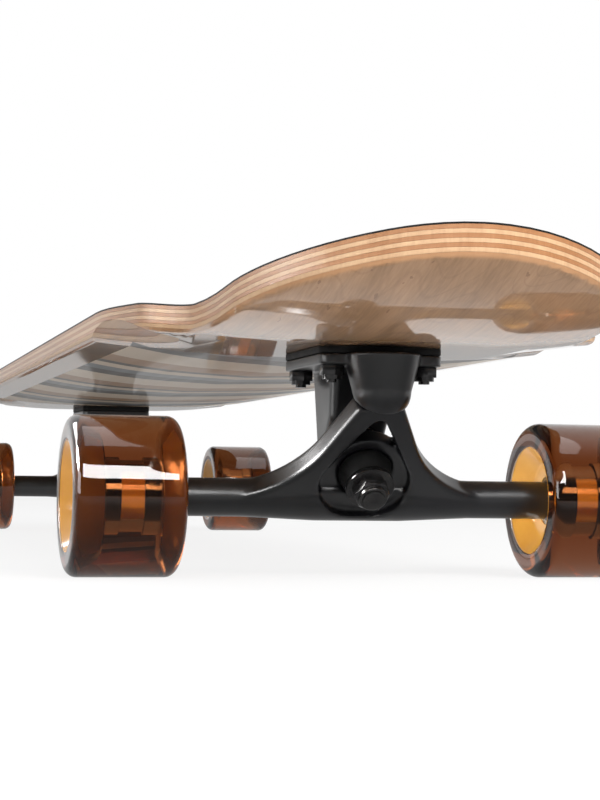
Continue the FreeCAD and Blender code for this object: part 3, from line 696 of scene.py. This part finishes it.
def tyre_profile():
    """Section of the clear body of a wheel: rounded outside, with room for the dishes and bearings."""
    inside = [
        (tyre_near + lip_round, tyre_lip), (core_near + lining, tyre_lip),
        (hub_near + lining, hub_out), (hub_near + lining, ring_room),
        (shoulder_near, ring_room), (shoulder_near, shoulder_bore),
        (shoulder_far, shoulder_bore), (shoulder_far, ring_room),
        (hub_far - lining, ring_room), (hub_far - lining, hub_out),
        (core_far - lining, tyre_lip), (tyre_far - lip_round, tyre_lip)]
    far_lip = arc(tyre_far - lip_round, tyre_lip + lip_round, lip_round, -60, 0, 3)
    far_round = arc(tyre_far - tyre_round, wheel_radius - tyre_round, tyre_round, 0, 90, 12)
    near_round = arc(tyre_near + tyre_round, wheel_radius - tyre_round, tyre_round, 90, 180, 12)
    near_lip = arc(tyre_near + lip_round, tyre_lip + lip_round, lip_round, 180, 240, 3)
    return inside + far_lip + far_round + near_round + near_lip


def dish_profile(face, hub, inward):
    """Section of the golden dish on one side of the core, from its rim to its bearing seat."""
    profile = []
    for start, points in ((face, rim_front), (hub, hub_front), (hub, hub_back), (face, rim_back)):
        profile += [(start + inward * depth, radius) for depth, radius in points]
    return profile


def sleeve_profile():
    """Section of the golden sleeve of the core between the two bearings."""
    near = shoulder_near + lining
    far = shoulder_far - lining
    outside = shoulder_bore - lining / 2
    return [(near, sleeve_bore), (near, outside), (far, outside), (far, sleeve_bore)]


def build_wheels():
    """Clear body, golden dishes and sleeve modelled once and copied to the four corners."""
    centre = Vector((axle_middle.x, 0, axle_middle.z))
    along = Vector((0, 1, 0))
    outward = Vector((0, 0, 1))
    moves = {
        "front_right": Matrix.Translation(centre) @ half_turn @ Matrix.Translation(-centre),
        "rear_left": Matrix.Translation((-2 * centre.x, 0, 0)),
        "rear_right": half_turn}
    near_dish_profile = dish_profile(core_near, hub_near, 1)
    far_dish_profile = dish_profile(core_far, hub_far, -1)
    tyre = spun("front_left_tyre_turned", tyre_profile(), centre, along, outward, wheel_steps)
    far_dish = spun("far_dish", far_dish_profile, centre, along, outward, wheel_steps)
    core = spun("front_left_core_turned", near_dish_profile, centre, along, outward, wheel_steps)
    sleeve = spun("sleeve", sleeve_profile(), centre, along, outward, wheel_steps)
    alone(core)
    far_dish.select_set(True)
    sleeve.select_set(True)
    bpy.ops.object.join()
    for part, master in (("tyre", tyre), ("core", core)):
        for corner, move in moves.items():
            twin = copied(master, "%s_%s_turned" % (corner, part), move)
            stand_for(twin, "%s_%s" % (corner, part))
        stand_for(master, "front_left_" + part)
    for corner in wheel_corners:
        for part in ("bearing_outer_rings", "bearing_shields", "bearing_balls"):
            smooth_piece("%s_%s" % (corner, part))


# Truck pieces, drawn on the front truck and turned round for the rear one

bushing_bore = 0.0051
bushing_foot = ((0.0, 0.0112), (0.0003, 0.0117), (0.0011, 0.0120), (0.0035, 0.01155))
bushing_head = ((0.0016, 0.0097), (0.0005, 0.0093), (0.0, 0.0087))
bushing_ends = {"boardside": (-0.0038, -0.0158), "roadside": (0.0018, 0.0128)}
bushing_steps = 64

# Threads: start, end, pitch, crest, root and bore

kingpin_thread = (0.0212, 0.02245, 0.0006, 0.00480, 0.00440, 0.0030)
kingpin_steps = 48
axle_thread = (0.1238, 0.12535, 0.00075, 0.00398, 0.00352, 0.0024)
axle_steps = 40


def bushing_profile(seat, washer):
    """Section of a bushing from its wide end on the hanger to its narrow end in the washer."""
    step = 1 if washer > seat else -1
    foot = [(seat + step * rise, radius) for rise, radius in bushing_foot]
    head = [(washer - step * drop, radius) for drop, radius in bushing_head]
    return [(seat, bushing_bore)] + foot + head + [(washer, bushing_bore)]


def build_bushings():
    """Bushings spun round the kingpin, copied to the rear truck, and shown in place of the CAD bushings."""
    for name, (seat, washer) in bushing_ends.items():
        profile = bushing_profile(seat, washer)
        master = spun(
            "front_%s_bushing_turned" % name, profile,
            kingpin_place, kingpin_axis, steer_axis, bushing_steps)
        for end in truck_ends:
            piece = master
            turn = Matrix.Identity(4)
            if end == "rear":
                turn = half_turn
                piece = copied(master, "rear_%s_bushing_turned" % name, turn)
            dress(piece, "black_rubber")
            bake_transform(piece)
            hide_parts("%s_%s_bushing" % (end, name))


def thread_profile(start, end, pitch, crest, root, bore):
    """Section of a screw thread as a row of ridges on a sleeve."""
    ridges = [(start, root)]
    count = int((end - start) / pitch)
    for ridge in range(count):
        ridges.append((start + pitch * (ridge + 0.5), crest))
        ridges.append((start + pitch * (ridge + 1), root))
    return ridges + [(start + pitch * count, bore), (start, bore)]


def build_threads():
    """Threads on the ends of the kingpins and axles that show past their nuts."""
    kingpin_end = spun(
        "front_kingpin_thread", thread_profile(*kingpin_thread),
        kingpin_place, kingpin_axis, steer_axis, kingpin_steps)
    left_end = spun(
        "front_left_axle_thread", thread_profile(*axle_thread),
        axle_middle, Vector((0, 1, 0)), Vector((0, 0, 1)), axle_steps)
    across = Matrix.Translation(axle_middle) @ half_turn @ Matrix.Translation(-axle_middle)
    placed = [
        (kingpin_end, "deck"),
        (copied(kingpin_end, "rear_kingpin_thread", half_turn), "deck"),
        (left_end, "front_hanger_body"),
        (copied(left_end, "front_right_axle_thread", across), "front_hanger_body"),
        (copied(left_end, "rear_right_axle_thread", half_turn), "rear_hanger_body"),
        (copied(left_end, "rear_left_axle_thread", half_turn @ across), "rear_hanger_body")]
    for piece, body in placed:
        finish = "black_hardware" if body == "deck" else "axle_steel"
        dress(piece, finish)
        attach(piece, body)


# Studio, with shares and levels of light

floor_size = 60
floor_paint = (0.85, 0.85, 0.85, 1)
floor_share = 0.85
# Painted light: for rays seen through the wheels the floor glows brighter on the right side than on the left
left_through_share = 0.25
right_through_share = 0.6
right_reach = 0.15
# Glow level of the floor where it carries painted shade in reflections
strip_glow = 0.05
room_light = 0.24
room_back = 1.0
room_front = 0.10
room_back_edge = -0.3
room_front_edge = 0.5

# Painted shade on the floor, seen only in reflections: place from 1 m behind to 1 m ahead as 0 to 1, and share of
# dimming
painted_floor_shade = ((0.25, 0.5), (0.48, 0.15), (0.64, 0.0), (0.71, 0.8), (0.76, 0.8), (0.84, 0.45))


def seen_rays(tree, camera_share, glossy_share, transmission_share):
    """How much of a bright studio each kind of ray sees."""
    rays = add_node(tree, "ShaderNodeLightPath")
    camera_part = sums(tree, "MULTIPLY", rays.outputs["Is Camera Ray"], camera_share)
    glossy_part = sums(tree, "MULTIPLY", rays.outputs["Is Glossy Ray"], glossy_share)
    through_part = sums(tree, "MULTIPLY", rays.outputs["Is Transmission Ray"], transmission_share)
    return sums(tree, "MAXIMUM", camera_part, sums(tree, "MAXIMUM", glossy_part, through_part))


def floor_material():
    """Pale floor paint that looks white. Seen through the wheels it glows brighter on the right as painted light.
    In reflections it carries painted shade: dimmed behind the board, darkest in a strip just in front of the
    wheels, and partly dimmed further ahead.
    """
    material = bpy.data.materials.new("studio_floor")
    material.use_nodes = True
    tree = material.node_tree
    tree.nodes.clear()
    parts = split(tree, object_place(tree))
    paint = add_node(tree, "ShaderNodeBsdfDiffuse")
    paint.inputs["Color"].default_value = floor_paint
    glow = add_node(tree, "ShaderNodeEmission")
    # Painted light seen through the wheels: brighter floor glow on the right side
    through_share = eased(tree, parts["Y"], 0.0, right_reach, left_through_share, right_through_share)
    blend = add_node(tree, "ShaderNodeMixShader")
    tree.links.new(seen_rays(tree, floor_share, floor_share, through_share), blend.inputs["Fac"])
    tree.links.new(paint.outputs["BSDF"], blend.inputs[1])
    tree.links.new(glow.outputs["Emission"], blend.inputs[2])
    # Painted shade seen only in reflections: the floor is dimmed behind the board and most of all in a strip in
    # front of the wheels
    along = sums(tree, "MULTIPLY_ADD", parts["X"], 0.5, 0.5)
    strip = shaded(tree, along, [(place, (level, level, level)) for place, level in painted_floor_shade])
    rays = add_node(tree, "ShaderNodeLightPath")
    shade = add_node(tree, "ShaderNodeEmission")
    shade.inputs["Strength"].default_value = strip_glow
    dim = add_node(tree, "ShaderNodeMixShader")
    tree.links.new(sums(tree, "MULTIPLY", rays.outputs["Is Glossy Ray"], strip), dim.inputs["Fac"])
    tree.links.new(blend.outputs["Shader"], dim.inputs[1])
    tree.links.new(shade.outputs["Emission"], dim.inputs[2])
    output = add_node(tree, "ShaderNodeOutputMaterial")
    tree.links.new(dim.outputs["Shader"], output.inputs["Surface"])
    return material


def build_floor():
    """Wide floor that keeps the object's shadow."""
    bpy.ops.object.select_all(action="DESELECT")
    bpy.ops.mesh.primitive_plane_add(size=floor_size, location=(0, 0, 0))
    floor = bpy.context.object
    floor.name = "studio_floor"
    floor.data.materials.append(floor_material())


def light_world():
    """White surround for the camera, a dimmer room in front of the nose for reflections."""
    world = bpy.data.worlds.new("studio")
    bpy.context.scene.world = world
    world.use_nodes = True
    tree = world.node_tree
    background = tree.nodes["Background"]
    background.inputs["Color"].default_value = (1, 1, 1, 1)
    direction = split(tree, add_node(tree, "ShaderNodeTexCoord").outputs["Generated"])
    room = eased(tree, direction["X"], room_back_edge, room_front_edge, room_back, room_front)
    rays = add_node(tree, "ShaderNodeLightPath")
    bent = sums(tree, "MAXIMUM", rays.outputs["Is Glossy Ray"], rays.outputs["Is Transmission Ray"])
    unspread = sums(tree, "LESS_THAN", rays.outputs["Diffuse Depth"], 0.5)
    bent = sums(tree, "MULTIPLY", bent, unspread)
    level = add_node(tree, "ShaderNodeMix", data_type="FLOAT")
    level.inputs[2].default_value = room_light
    tree.links.new(bent, level.inputs[0])
    tree.links.new(room, level.inputs[3])
    strength = sums(tree, "MAXIMUM", level.outputs[0], rays.outputs["Is Camera Ray"])
    tree.links.new(strength, background.inputs["Strength"])


# The whole scene, with lamps in metres and watts

casting_grain = {"hanger": 0.0008, "baseplate": 0.0007}
casting_rounds = {"hanger": 8, "baseplate": 4}
broken_edge = {
    "riser_pad": 0.0005, "kingpin_nut": 0.0003, "kingpin_washers": 0.0003, "axle_nuts": 0.0003}
lock_nut_edge = 0.0003
bolt_edge = 0.0001
ply_count = 7

place_camera()
light_world()
build_floor()
softbox("front_softbox", (1.75, -0.3, 1.02), (0.35, 0, 0.05), 1.7, 0.58, 16, 54)
softbox("nose_softbox", (1.6, 0.6, 0.95), (0.4, 0, 0.08), 0.9, 0.5, 26)
softbox("side_softbox", (0.75, -2.1, 0.5), (0.35, 0, 0.05), 1.2, 0.8, 5, 16)
softbox("top_softbox", (0.2, 0.3, 2.2), (0.2, 0, 0.05), 1.6, 1.2, 11, 1)
softbox("back_softbox", (-0.9, -1.3, 1.3), (0.35, 0, 0.05), 1.2, 0.8, 4, 30)
softbox("low_side_softbox", (0.0, -1.9, 1.0), (0.37, -0.03, 0.06), 1.0, 0.6, 2, 150)
spot("dish_spot", (0.95, -0.55, 0.04), (0.372, 0.085, 0.035), 7, 30)

for name, node in nodes.items():
    dress(node, slot_of_node[name])
for end in truck_ends:
    for part, grain in casting_grain.items():
        cast_piece("%s_%s" % (end, part), grain, casting_rounds[part])
    for part, width in broken_edge.items():
        bevelled_piece("%s_%s" % (end, part), width)
for number in range(1, ply_count + 1):
    smooth_piece("deck_ply_%d" % number)
smooth_piece("grip_tape")
bevelled_piece("deck_lock_nuts", lock_nut_edge)
bevelled_piece("deck_bolts", bolt_edge)
build_wheels()
build_bushings()
build_threads()

bpy.context.scene.view_settings.view_transform = "Standard"
